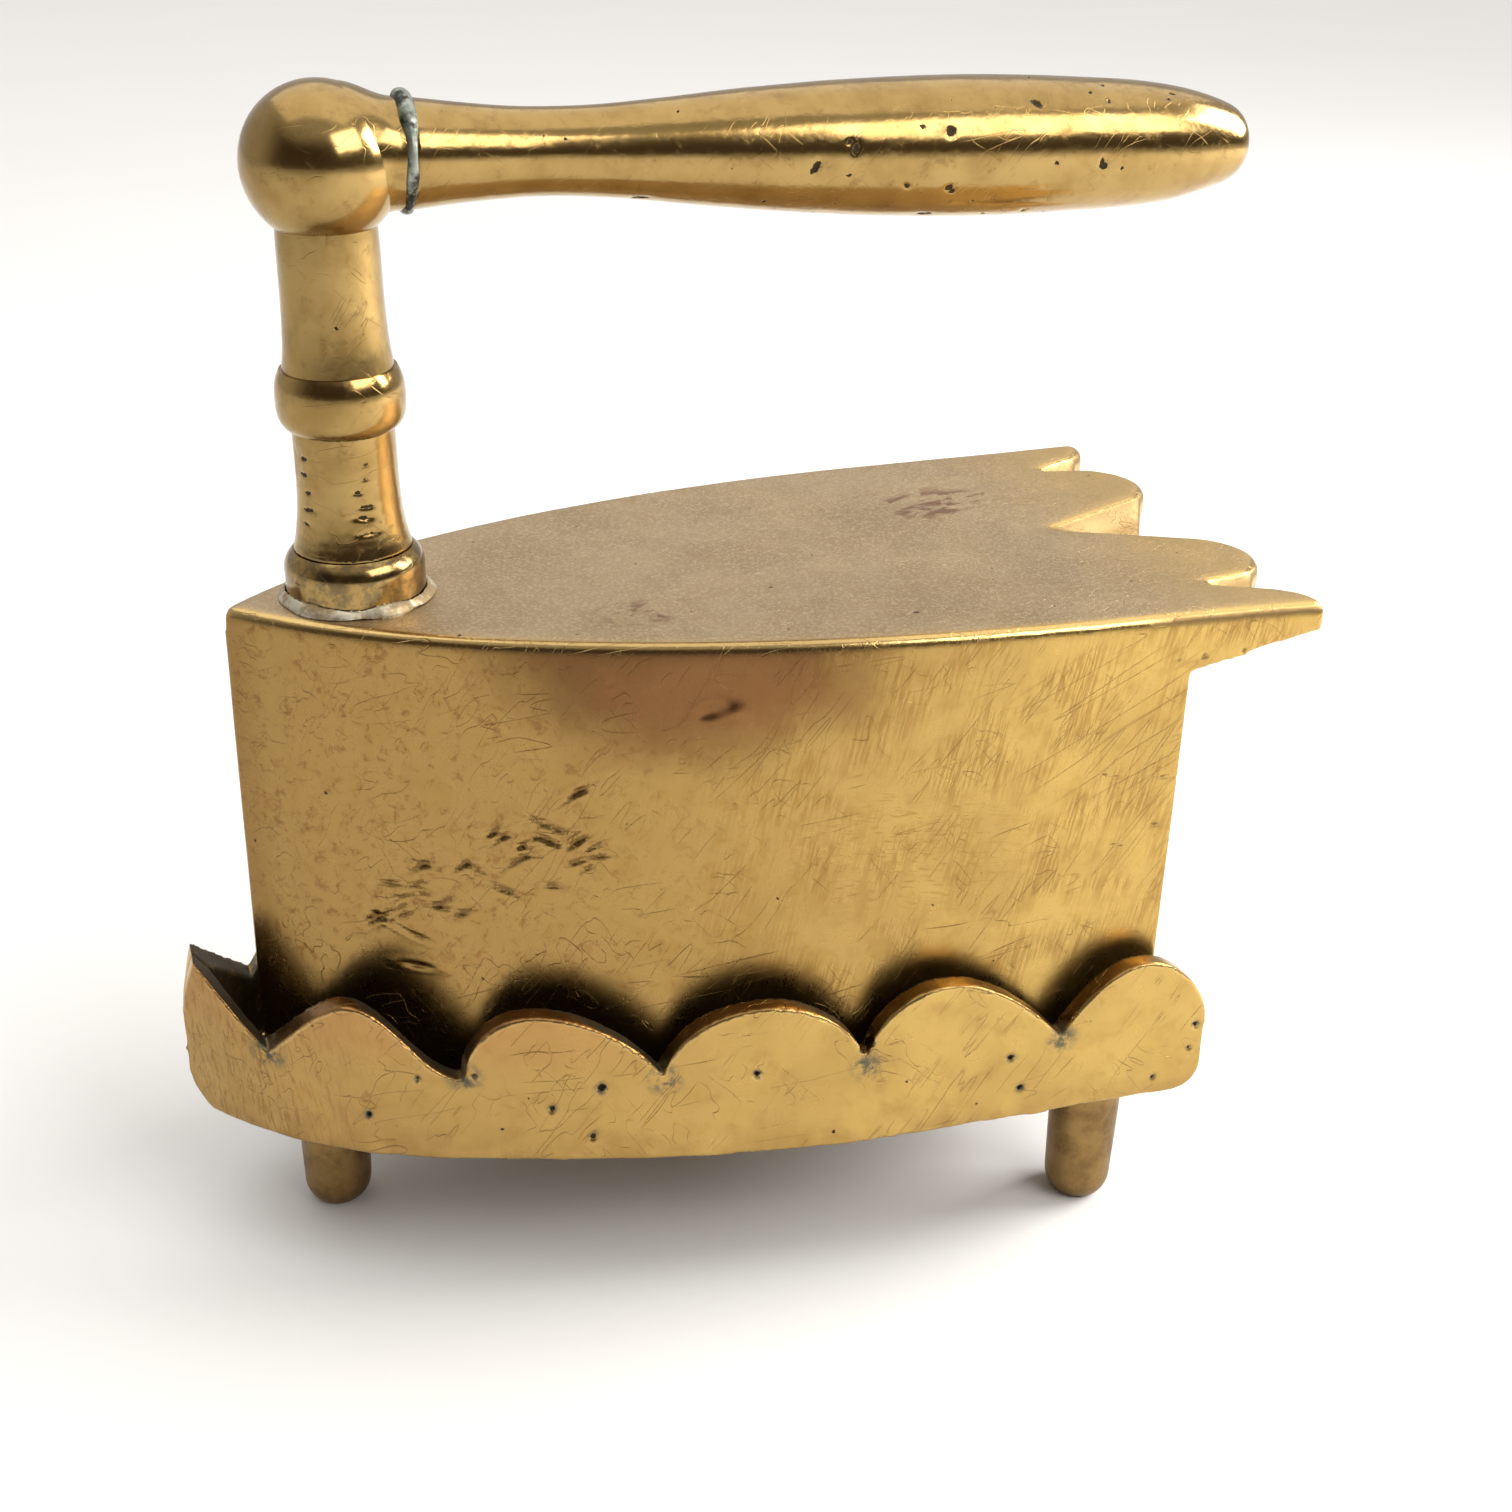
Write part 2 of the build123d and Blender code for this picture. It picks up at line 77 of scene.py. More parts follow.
class Graph:
    """Short way to write a node material. Each method adds a node and gives its output socket."""

    def __init__(self, name):
        self.material = bpy.data.materials.new(name)
        self.material.use_nodes = True
        self.tree = self.material.node_tree
        self.tree.nodes.clear()
        self.place = self.node("ShaderNodeTexCoord").outputs["Object"]

    def node(self, kind, **settings):
        made = self.tree.nodes.new(kind)
        for key, value in settings.items():
            setattr(made, key, value)
        return made

    def feed(self, socket, value):
        """Links a socket to another, or sets it to a number or a colour."""
        if isinstance(value, bpy.types.NodeSocket):
            self.tree.links.new(value, socket)
        elif isinstance(value, (tuple, list)) and len(value) == 3 and len(socket.default_value) == 4:
            socket.default_value = (*value, 1.0)
        else:
            socket.default_value = value

    def math(self, operation, first, second=0.0):
        made = self.node("ShaderNodeMath", operation=operation)
        self.feed(made.inputs[0], first)
        self.feed(made.inputs[1], second)
        return made.outputs[0]

    def add(self, first, second):
        return self.math("ADD", first, second)

    def times(self, first, second):
        return self.math("MULTIPLY", first, second)

    def most(self, first, second):
        return self.math("MAXIMUM", first, second)

    def less(self, first, second):
        return self.math("SUBTRACT", first, second)

    def uneven(self, size_mm, detail, roughness):
        """Noise about zero, to make an edge ragged."""
        return self.less(self.noise(size_mm, detail, roughness), 0.5)

    def band(self, value, low, high, to_low=0.0, to_high=1.0):
        """Smooth step of a value from one number to another."""
        made = self.node("ShaderNodeMapRange", interpolation_type="SMOOTHSTEP")
        for index, number in enumerate((value, low, high, to_low, to_high)):
            self.feed(made.inputs[index], number)
        return made.outputs[0]

    def mapped(self, turn=(0, 0, 0), stretch=(1, 1, 1), shift=(0, 0, 0)):
        """The surface point moved and turned (degrees), then measured in stretched units."""
        made = self.node("ShaderNodeMapping", vector_type="TEXTURE")
        self.feed(made.inputs["Vector"], self.place)
        made.inputs["Location"].default_value = shift
        made.inputs["Rotation"].default_value = [math.radians(angle) for angle in turn]
        made.inputs["Scale"].default_value = stretch
        return made.outputs[0]

    def noise(self, size_mm, detail=2.0, roughness=0.5, warp=0.0, vector=None):
        """Noise whose blobs are about that many millimetres across."""
        made = self.node("ShaderNodeTexNoise")
        self.feed(made.inputs["Vector"], vector or self.place)
        made.inputs["Scale"].default_value = 1.0 / (size_mm * MM)
        made.inputs["Detail"].default_value = detail
        made.inputs["Roughness"].default_value = roughness
        made.inputs["Distortion"].default_value = warp
        return made.outputs[0]

    def hairlines(self, size_mm, turn, width, shift=0.0, long=14.0):
        """Long thin scratches: the contour lines of a noise that is stretched along one direction."""
        lines = self.noise(size_mm, 1.0, 0.4, 0.25, self.mapped(turn, (1, 1, long), (shift, shift, shift)))
        offset = self.math("ABSOLUTE", self.less(lines, 0.5))
        return self.band(offset, 0.0, width, 1.0, 0.0)

    def pits(self, spacing_mm, radius, share, ragged=0.25):
        """Small holes, one in a share of the cells of a random net."""
        cells = self.node("ShaderNodeTexVoronoi", feature="F1")
        self.feed(cells.inputs["Vector"], self.place)
        cells.inputs["Scale"].default_value = 1.0 / (spacing_mm * MM)
        chance = self.node("ShaderNodeSeparateColor")
        self.feed(chance.inputs[0], cells.outputs["Color"])
        chosen = self.band(chance.outputs[0], share, share * 0.85)
        raggedness = self.times(self.uneven(spacing_mm * 0.3, 2.0, 0.6), ragged)
        distance = self.add(cells.outputs["Distance"], raggedness)
        return self.times(self.band(distance, radius * 0.6, radius, 1.0, 0.0), chosen)

    def near(self, centre_mm, radii_mm, ragged=0.0, size_mm=2.0):
        """1 inside a soft ellipsoid about a point, 0 outside, with an uneven edge."""
        radii = [radius * MM for radius in radii_mm]
        moved = self.mapped((0, 0, 0), radii, [part * MM for part in centre_mm])
        length = self.node("ShaderNodeVectorMath", operation="LENGTH")
        self.feed(length.inputs[0], moved)
        distance = length.outputs["Value"]
        if ragged:
            distance = self.add(distance, self.times(self.uneven(size_mm, 3.0, 0.6), ragged))
        return self.band(distance, 0.45, 1.15, 1.0, 0.0)

    def height(self, axis, low_mm, high_mm):
        """Smooth step along an axis."""
        parts = self.node("ShaderNodeSeparateXYZ")
        self.feed(parts.inputs[0], self.place)
        return self.band(parts.outputs["XYZ".index(axis)], low_mm * MM, high_mm * MM)

    def grime(self):
        """How much dirt the worn copy's points carry, 0 on a plain CAD node."""
        return self.node("ShaderNodeAttribute", attribute_name="grime").outputs["Fac"]

    def facing(self, axis):
        """The surface's direction along an axis, from -1 to 1."""
        parts = self.node("ShaderNodeSeparateXYZ")
        self.feed(parts.inputs[0], self.node("ShaderNodeNewGeometry").outputs["Normal"])
        return parts.outputs["XYZ".index(axis)]

    def side(self):
        """-1 on the left half of the object and 1 on the right."""
        parts = self.node("ShaderNodeSeparateXYZ")
        self.feed(parts.inputs[0], self.place)
        return self.math("SIGN", parts.outputs[1])

    def between(self, factor, low, high):
        """A number that goes from low to high as the factor goes from 0 to 1."""
        return self.add(self.times(factor, high - low), low)

    def mix(self, factor, first, second):
        """A colour between two others."""
        made = self.node("ShaderNodeMix", data_type="RGBA")
        self.feed(made.inputs["Factor"], factor)
        self.feed(made.inputs[6], first)
        self.feed(made.inputs[7], second)
        return made.outputs[2]

    def finish(self, colour, rough, relief, depth_mm, metallic=1.0):
        """The shader and its bump. relief is a height, and depth_mm is how deep a relief of 1 is."""
        bump = self.node("ShaderNodeBump")
        bump.inputs["Strength"].default_value = 1.0
        bump.inputs["Distance"].default_value = depth_mm * MM
        self.feed(bump.inputs["Height"], relief)
        shader = self.node("ShaderNodeBsdfPrincipled")
        self.feed(shader.inputs["Base Color"], colour)
        self.feed(shader.inputs["Metallic"], metallic)
        self.feed(shader.inputs["Roughness"], rough)
        self.feed(shader.inputs["Normal"], bump.outputs[0])
        output = self.node("ShaderNodeOutputMaterial")
        self.tree.links.new(shader.outputs[0], output.inputs["Surface"])
        return self.material


# Metals, clean to tarnished; the toe and flute colours also hold painted shade.
GOLD = (0.53, 0.352, 0.108)
GOLD_SHADE = (0.46, 0.30, 0.092)
BRIGHT_GOLD = (0.82, 0.60, 0.25)
DEEP_GOLD = (0.34, 0.195, 0.054)
BODY_TOE_TARNISH_AND_SHADE = (0.35, 0.22, 0.072)
GALLERY_TOE_TARNISH_AND_SHADE = (0.40, 0.25, 0.085)
FLUTE_PAINTED_SHADE = (0.22, 0.145, 0.062)
POLISH_LIGHT = (0.37, 0.25, 0.092)
POLISH_SHADE = (0.29, 0.185, 0.062)
POLISH_DULL = (0.22, 0.13, 0.045)
BEIGE = (0.44, 0.325, 0.19)
BEIGE_SHADE = (0.36, 0.255, 0.14)
BEIGE_GRAIN = (0.56, 0.44, 0.28)
# Tarnish, rust and dirt; also a painted dark reflection, and the near-black of inner faces.
BROWN = (0.20, 0.095, 0.033)
REDDISH = (0.40, 0.17, 0.07)
DARK_REFLECTION_BROWN = (0.13, 0.062, 0.024)
EDGE_BROWN = (0.25, 0.125, 0.045)
STAIN = (0.21, 0.105, 0.055)
IRON_RUST = (0.20, 0.075, 0.03)
DENT_DIRT = (0.11, 0.055, 0.02)
FOOT_DIRT = (0.08, 0.07, 0.05)
NOTCH_DIRT = (0.12, 0.13, 0.10)
INNER_FACE_BLACK = (0.055, 0.05, 0.035)
VERDIGRIS = (0.28, 0.37, 0.31)
SOOT = (0.025, 0.02, 0.015)


def scratches(g, seed):
    """Fine scratches in three directions, each in its own patches."""
    marks = g.times(g.hairlines(0.9, (0, 35, 0), 0.009, seed + 0.01), g.band(g.noise(3.0), 0.44, 0.60))
    second = g.times(g.hairlines(1.3, (0, -50, 20), 0.007, seed + 0.03), g.band(g.noise(4.0), 0.48, 0.62))
    third = g.times(g.hairlines(1.6, (10, 80, 0), 0.006, seed + 0.05), g.band(g.noise(5.0), 0.50, 0.62))
    return g.most(marks, g.most(second, third))


def body_brass():
    """Satin brass of the box: brushed sides with scratches and stains, a beige grainy top, a painted
    highlight on the rim and painted shade on the flutes.
    """
    g = Graph("body_brass_look")
    up = g.facing("Z")
    top = g.times(g.band(up, 0.93, 0.99), g.height("Z", BODY_TOP - 0.65, BODY_TOP - 0.25))
    flutes = g.times(g.height("X", 21, 24), g.height("Z", BODY_TOP - 0.15, BODY_TOP - 0.35))
    flutes = g.times(g.band(up, 0.05, 0.3), flutes)
    rim = g.times(g.band(up, 0.12, 0.45), g.band(up, 0.995, 0.90))
    rim = g.times(rim, g.height("Z", BODY_TOP - 1.35, BODY_TOP - 0.95))
    cloud = g.noise(1.6, 4.0, 0.65)
    # Brushing: fine strokes up and down the sides, in patches and mostly towards the heel.
    strokes = g.noise(0.17, 3.0, 0.7, 0.0, g.mapped((0, 12, 0), (1, 1, 16)))
    cross = g.noise(0.15, 3.0, 0.7, 0.0, g.mapped((0, 97, 0), (1, 1, 12), (0.02, 0, 0.01)))
    patches = g.band(g.noise(4.0, 2.0, 0.5), 0.36, 0.62)
    brushed = g.times(g.band(strokes, 0.44, 0.58), g.times(patches, g.height("X", -12, 3)))
    cross_patch = g.near(spot(0.62, 0.1, 0.4), (9, 6, 5), 0.8, 3.0)
    worked = g.most(brushed, g.times(g.band(cross, 0.50, 0.66), cross_patch))
    colour = body_side_colour(g, cloud, worked)
    # The top: matt and grainy, its pale beige partly a painted reflection of the pale sky, yellower towards
    # the flutes, with two rusty stains.
    grain = g.noise(0.19, 3.0, 0.7)
    colour = g.mix(top, colour, body_top_colour(g, grain))
    # Brighter along the rounded top rim: a painted highlight, on metal worn smoother.
    colour = g.mix(g.times(rim, 0.45), colour, BRIGHT_GOLD)
    # Darker on the flutes' slopes: painted shade, damping the key lamp's highlight there.
    colour = g.mix(g.times(flutes, 0.9), colour, FLUTE_PAINTED_SHADE)
    # Scratches, pits and the dirt that sits in the dents.
    heel_patch = g.near(spot(0.8, 0.08, 0.5), (9, 6, 6), 0.4)
    long_cuts = g.times(g.hairlines(1.5, (0, 62, 0), 0.010, 0.08, 26.0), heel_patch)
    fine = g.most(scratches(g, 0.0), long_cuts)
    holes = g.most(g.pits(1.9, 0.05, 0.30), g.pits(4.2, 0.035, 0.35))
    holes = g.most(holes, g.times(g.pits(0.9, 0.09, 0.25), top))
    dirt = g.band(g.add(g.grime(), g.times(g.uneven(0.35, 3.0, 0.7), 0.9)), 0.34, 0.52)
    colour = g.mix(g.times(fine, g.between(top, 0.36, 0.12)), colour, BROWN)
    colour = g.mix(g.times(holes, 0.85), colour, SOOT)
    colour = g.mix(g.times(dirt, 0.68), colour, DENT_DIRT)
    rough = g.add(g.times(cloud, 0.12), g.between(top, 0.22, 0.38))
    rough = g.add(rough, g.times(flutes, 0.28))
    rough = g.add(rough, g.less(g.times(worked, 0.10), g.times(rim, 0.10)))
    relief = g.add(g.times(g.most(strokes, cross), 0.22), g.times(cloud, 0.25))
    relief = g.add(relief, g.times(g.times(grain, top), 1.3))
    relief = g.less(g.less(relief, g.times(fine, 0.35)), holes)
    return g.finish(colour, rough, relief, 0.035)


def body_side_colour(g, cloud, worked):
    """Brass of the box's sides: browner and specked towards the toe, partly painted shade, with a painted
    dark reflection under the rim.
    """
    colour = g.mix(g.band(g.noise(6.0, 3.0, 0.6), 0.35, 0.7), GOLD, GOLD_SHADE)
    # Browner towards the toe: tarnish, and painted shade of the toe half.
    colour = g.mix(g.height("X", 22, -16), colour, BODY_TOE_TARNISH_AND_SHADE)
    colour = g.mix(g.times(g.band(cloud, 0.48, 0.72), 0.40), colour, DEEP_GOLD)
    colour = g.mix(g.times(worked, 0.72), colour, DEEP_GOLD)
    specks = g.times(g.band(g.noise(0.8, 5.0, 0.75, 0.6), 0.51, 0.68), g.height("X", 10, -22))
    colour = g.mix(g.times(specks, 0.75), colour, BROWN)
    # Dark brown patch under the rim: a painted reflection of the dim room in front.
    painted_dark_reflection = g.near(spot(0.42, 0.16, 0.59), (15.0, 7.0, 8.0), 0.6, 5.0)
    colour = g.mix(g.times(painted_dark_reflection, 0.9), colour, DARK_REFLECTION_BROWN)
    # Reddish tint within that painted reflection.
    coppery = g.near(spot(0.45, 0.14, 0.55), (9.0, 5.0, 3.0), 0.9, 2.5)
    colour = g.mix(g.times(coppery, 0.18), colour, REDDISH)
    # Browner still at the toe's end face: tarnish, and painted shade.
    return g.mix(g.times(g.height("X", -27.0, -29.2), 0.4), colour, BROWN)


def body_top_colour(g, grain):
    """Beige of the box's top: matt oxide, paled by a painted reflection of the sky."""
    colour = g.mix(g.band(g.noise(5.0, 3.0, 0.6), 0.3, 0.75), BEIGE, BEIGE_SHADE)
    colour = g.mix(g.times(g.band(grain, 0.48, 0.62), 0.75), colour, BEIGE_GRAIN)
    heel_stain = g.near(spot(0.76, 0.67, 0.6), (6.5, 3.6, 2.0))
    edge_stain = g.near(spot(0.41, 0.3, 0.6), (4.0, 2.2, 2.0))
    smears = g.band(g.noise(1.3, 4.0, 0.65, 0.5, g.mapped((0, 0, 20), (2, 1, 1))), 0.50, 0.62)
    stained = g.times(g.most(heel_stain, edge_stain), smears)
    colour = g.mix(g.times(stained, 0.9), colour, STAIN)
    return g.mix(g.times(g.height("X", 20, 31), 0.55), colour, GOLD)


def gallery_brass():
    """Satin brass with brown worn edges, bright where they turn with a painted highlight, file marks at the
    toe, casting holes, near-black inner faces, and painted shade towards the toe.
    """
    g = Graph("gallery_brass_look")
    up = g.facing("Z")
    scallops = g.height("Z", 13.5, 15.5)
    cloud = g.noise(1.8, 4.0, 0.6)
    colour = g.mix(g.band(g.noise(5.0, 2.0, 0.5), 0.35, 0.7), GOLD, GOLD_SHADE)
    # Browner towards the toe: tarnish, and painted shade.
    colour = g.mix(g.times(g.height("X", 10, -24), 0.8), colour, GALLERY_TOE_TARNISH_AND_SHADE)
    colour = g.mix(g.times(g.band(cloud, 0.48, 0.75), 0.45), colour, DEEP_GOLD)
    files = g.noise(0.22, 3.0, 0.7, 0.0, g.mapped((0, -12, 0), (1, 1, 14)))
    filed = g.times(g.band(files, 0.48, 0.66), g.height("X", -22, -30))
    colour = g.mix(g.times(filed, 0.6), colour, BROWN)
    coppery = g.times(g.height("Z", 14.5, 19), g.height("X", -2, -14))
    colour = g.mix(g.times(coppery, 0.3), colour, REDDISH)
    low = g.times(g.height("Z", 12.5, 9.4), g.band(g.noise(2.5, 3.0), 0.35, 0.65))
    colour = g.mix(g.times(low, 0.35), colour, BROWN)
    # The scallops' upper edge is brown, and bright where it turns down: worn metal with a painted highlight.
    edge = g.times(g.band(up, 0.15, 0.55), scallops)
    edge = g.times(edge, g.band(g.noise(1.5, 3.0, 0.6), 0.3, 0.7, 0.3, 0.8))
    colour = g.mix(edge, colour, EDGE_BROWN)
    rubbed_and_highlit = g.times(g.times(g.band(up, 0.05, 0.3), g.band(up, 0.6, 0.35)), scallops)
    colour = g.mix(g.times(rubbed_and_highlit, 0.4), colour, BRIGHT_GOLD)
    fine = scratches(g, 0.2)
    colour = g.mix(g.times(fine, 0.35), colour, BROWN)
    holes = g.most(g.pits(1.5, 0.08, 0.22), g.pits(4.6, 0.085, 0.35, 0.4))
    colour = g.mix(g.times(holes, 0.9), colour, SOOT)
    # Near-black on the faces turned inward, towards the box, and greenish dirt in the notches. More grime
    # than 1 marks a casting hole.
    toe_part = g.times(g.facing("X"), g.height("X", 8, -2))
    inward = g.band(g.less(g.times(g.facing("Y"), g.side()), toe_part), -0.1, -0.4)
    inner_dark = g.times(inward, g.band(g.noise(1.6, 4.0, 0.65), 0.20, 0.45))
    colour = g.mix(g.times(inner_dark, 0.9), colour, INNER_FACE_BLACK)
    corner = g.times(g.grime(), g.band(g.noise(0.7, 4.0, 0.7), 0.38, 0.6))
    colour = g.mix(g.times(corner, 0.85), colour, NOTCH_DIRT)
    casting_holes = g.band(g.add(g.grime(), g.times(g.uneven(0.3, 3.0, 0.7), 1.4)), 1.25, 1.4)
    colour = g.mix(g.times(casting_holes, 0.95), colour, SOOT)
    rough = g.add(g.times(cloud, 0.14), g.between(g.most(inner_dark, corner), 0.22, 0.6))
    relief = g.add(g.times(files, 0.2), g.times(cloud, 0.35))
    relief = g.less(g.less(relief, g.times(fine, 0.5)), holes)
    return g.finish(colour, rough, relief, 0.04)


def polished_brass(name, foot_dirt):
    """Polished brass with fine scratches and dark pits. foot_dirt blackens it just above the solder."""
    g = Graph(name)
    cloud = g.noise(2.5, 3.0, 0.6)
    colour = g.mix(g.band(cloud, 0.35, 0.75), POLISH_LIGHT, POLISH_SHADE)
    dull = g.band(g.noise(1.1, 5.0, 0.7), 0.52, 0.70)
    colour = g.mix(g.times(dull, 0.45), colour, POLISH_DULL)
    if foot_dirt:
        above_solder = g.height("Z", BODY_TOP + 4.35, BODY_TOP + 2.55)
        foot = g.times(above_solder, g.band(g.noise(0.8, 4.0, 0.7), 0.4, 0.6))
        colour = g.mix(g.times(foot, 0.6), colour, FOOT_DIRT)
    fine = scratches(g, 0.4)
    colour = g.mix(g.times(fine, 0.12), colour, BROWN)
    ragged = g.add(g.grime(), g.times(g.uneven(0.3, 4.0, 0.75), 1.5))
    holes = g.most(g.pits(1.3, 0.05, 0.16), g.band(ragged, 0.42, 0.50))
    colour = g.mix(g.times(holes, 0.92), colour, SOOT)
    rough = g.add(g.times(dull, 0.14), g.add(g.times(cloud, 0.08), g.add(g.times(holes, 0.4), 0.13)))
    relief = g.add(g.times(cloud, 0.6), g.times(g.noise(0.5, 2.0), 0.12))
    relief = g.less(g.less(relief, g.times(fine, 0.12)), g.times(holes, 0.4))
    return g.finish(colour, rough, relief, 0.03)


def dull_brass(name, light, dark, roughness):
    """Uncleaned brass with a brown skin."""
    g = Graph(name)
    cloud = g.noise(2.0, 4.0, 0.65)
    colour = g.mix(g.band(cloud, 0.35, 0.7), light, dark)
    spots = g.band(g.noise(0.7, 4.0, 0.7), 0.58, 0.7)
    colour = g.mix(g.times(spots, 0.5), colour, BROWN)
    fine = scratches(g, 0.6)
    colour = g.mix(g.times(fine, 0.4), colour, light)
    holes = g.pits(1.4, 0.06, 0.25)
    colour = g.mix(g.times(holes, 0.8), colour, SOOT)
    rough = g.add(g.times(cloud, 0.18), roughness)
    relief = g.add(g.times(cloud, 0.5), g.times(g.noise(0.2, 3.0), 0.2))
    relief = g.less(relief, g.add(holes, g.times(fine, 0.3)))
    return g.finish(colour, rough, relief, 0.04)


def solder_look():
    """Old solder: bright silver at the post's foot, black with verdigris at the grip."""
    g = Graph("solder_look")
    lumps = g.noise(1.2, 5.0, 0.6)
    clean = g.height("Z", 55, 45)
    grey = g.mix(clean, (0.33, 0.35, 0.30), (0.60, 0.55, 0.42))
    black = g.mix(clean, (0.02, 0.018, 0.012), (0.30, 0.22, 0.11))
    colour = g.mix(g.band(lumps, 0.43, 0.58), black, grey)
    green = g.times(g.band(g.noise(1.1, 3.0, 0.6), 0.52, 0.66), g.height("Z", 45, 55))
    colour = g.mix(g.times(green, 0.6), colour, VERDIGRIS)
    rough = g.band(lumps, 0.2, 0.8, 0.60, 0.30)
    metal = g.band(lumps, 0.35, 0.65, 0.5, 0.95)
    return g.finish(colour, rough, lumps, 0.06, metal)


def iron_look(name, colour_a, colour_b, roughness):
    """Rough cast or rolled iron with rust in the hollows."""
    g = Graph(name)
    lumps = g.noise(0.6, 5.0, 0.7)
    rust = g.band(g.noise(1.8, 4.0, 0.65), 0.5, 0.68)
    colour = g.mix(g.band(lumps, 0.3, 0.7), colour_a, colour_b)
    colour = g.mix(g.times(rust, 0.55), colour, IRON_RUST)
    rough = g.add(g.times(lumps, 0.2), g.add(g.times(rust, 0.15), roughness))
    metal = g.band(rust, 0.0, 1.0, 0.85, 0.2)
    return g.finish(colour, rough, lumps, 0.10, metal)


# ---------------------------------------------------------------- worn copies of the cast pieces

def evaluated_mesh(obj):
    """The object's mesh with its modifiers applied."""
    graph = bpy.context.evaluated_depsgraph_get()
    return bpy.data.meshes.new_from_object(obj.evaluated_get(graph), depsgraph=graph)


def soften(piece, rounds, group=""):
    """Rounds the mesh's edges off, only in one vertex group if it is named."""
    modifier = piece.modifiers.new("soften", "SMOOTH")
    modifier.factor = 0.5
    modifier.iterations = rounds
    modifier.vertex_group = group


def bake(piece):
    """Turns the object's modifiers into its mesh."""
    mesh = evaluated_mesh(piece)
    piece.modifiers.clear()
    piece.data = mesh


def round_rim(piece, above_mm, beyond_mm, rounds):
    """Extra rounding of everything above a height or further to the heel than a station."""
    rim = piece.vertex_groups.new(name="rim")
    chosen = [point.index for point in piece.data.vertices
              if point.co.z > above_mm * MM or point.co.x > beyond_mm * MM]
    rim.add(chosen, 1.0, "REPLACE")
    soften(piece, rounds, rim.name)
    bake(piece)


def worn_copy(node, voxel_mm, smoothing, shape, rim=None):
    """Fine even mesh of a CAD node with softened edges. shape moves its points, and rim goes to round_rim."""
    source = frame["nodes"][node]
    piece = bpy.data.objects.new(node + "_worn", source.data.copy())
    bpy.context.scene.collection.objects.link(piece)
    remesh = piece.modifiers.new("even", "REMESH")
    remesh.mode = "VOXEL"
    remesh.voxel_size = voxel_mm * MM
    remesh.use_smooth_shade = True
    soften(piece, smoothing)
    bake(piece)
    if rim:
        round_rim(piece, *rim)
    reshape(piece.data, shape)
    for polygon in piece.data.polygons:
        polygon.use_smooth = True
    piece.data.update()
    return piece


def reshape(mesh, shape):
    """Moves each point along its normal by what shape adds, in millimetres, and keeps its dirt."""
    count = len(mesh.vertices)
    points = np.empty(count * 3)
    normals = np.empty(count * 3)
    mesh.vertices.foreach_get("co", points)
    mesh.vertex_normals.foreach_get("vector", normals)
    points = points.reshape(-1, 3)
    normals = normals.reshape(-1, 3)
    wear = Wear(points / MM, normals)
    shape(wear)
    points += normals * wear.move[:, None] * MM
    mesh.vertices.foreach_set("co", points.ravel())
    mesh.attributes.new("grime", "FLOAT", "POINT").data.foreach_set("value", wear.grime)


class Wear:
    """What wear does to a mesh's points: how far each moves along its normal, and how dirty it is."""

    def __init__(self, points, normals):
        self.points = points
        self.normals = normals
        self.move = np.zeros(len(points))
        self.grime = np.zeros(len(points))

    def wave(self, size_mm, amount, seed):
        self.move += amount * waves(self.points, size_mm, seed)

    def dash(self, centre, long_axis, length, width, depth, dirt=0.8, lip=0.25):
        """A hollow, long along one direction and fading towards its ends, with a raised lip."""
        along_axis = np.array(long_axis) / np.linalg.norm(long_axis)
        offset = self.points - np.array(centre)
        along = offset @ along_axis
        across = np.linalg.norm(offset - np.outer(along, along_axis), axis=1)
        reach = np.sqrt((along / length) ** 2 + (across / width) ** 2)
        self.move -= depth * np.exp(-reach ** 2 * 2.0)
        self.move += lip * depth * np.exp(-(reach - 1.45) ** 2 * 5.0)
        self.grime = np.maximum(self.grime, dirt * np.exp(-reach ** 2 * 2.5))


def waves(points, size_mm, seed):
    """Smooth unevenness, mostly between -1 and 1, from a few crossed sine waves."""
    rng = np.random.default_rng(SEED + seed)
    total = np.zeros(len(points))
    for _ in range(WAVE_COUNT):
        direction = rng.normal(size=3)
        direction /= np.linalg.norm(direction)
        wavelength = size_mm * rng.uniform(0.7, 1.5)
        total += np.sin(points @ direction * 2 * math.pi / wavelength + rng.uniform(0, 6.28))
    return total / WAVE_COUNT ** 0.5 / 1.5


def body_side_y(x):
    """Where the near side of the box is at a station, taken as the sole plate's edge."""
    return -np.interp(x, BODY_PLAN[:, 0], BODY_PLAN[:, 1])


def body_plan():
    """Half widths of the sole plate along its length, from the CAD node's points."""
    points = np.array([vertex.co for vertex in frame["nodes"]["sole_plate"].data.vertices]) / MM
    stations = np.unique(points[:, 0].round(1))
    widths = [np.abs(points[np.abs(points[:, 0] - x) < 0.3, 1]).max() for x in stations]
    return np.column_stack((stations, widths))


BODY_PLAN = body_plan()


def body_wear(wear):
    """Dents, nicks and waviness of the cast box."""
    wear.wave(9.0, 0.012, 1)
    wear.wave(3.0, 0.005, 2)
    rng = random.Random(SEED)
    near_side_dents(wear, rng)
    for side in (-1, 1):
        for _ in range(36):
            x = rng.uniform(-26, 24)
            z = rng.uniform(22, 41)
            size = rng.uniform(0.15, 0.5)
            wear.dash((x, -side * body_side_y(x), z), (1, 0, rng.uniform(-1, 1)), size, 0.18, 0.05, 0.5)
    # A row of small holes below the heel's rim.
    for index in range(5):
        x, y, z = spot(0.78 + 0.034 * index, 0.06, 0.558)
        wear.dash((x + rng.uniform(-0.4, 0.4), y, z), (1, 0, 0), 0.32, 0.3, 0.12, 1.0)


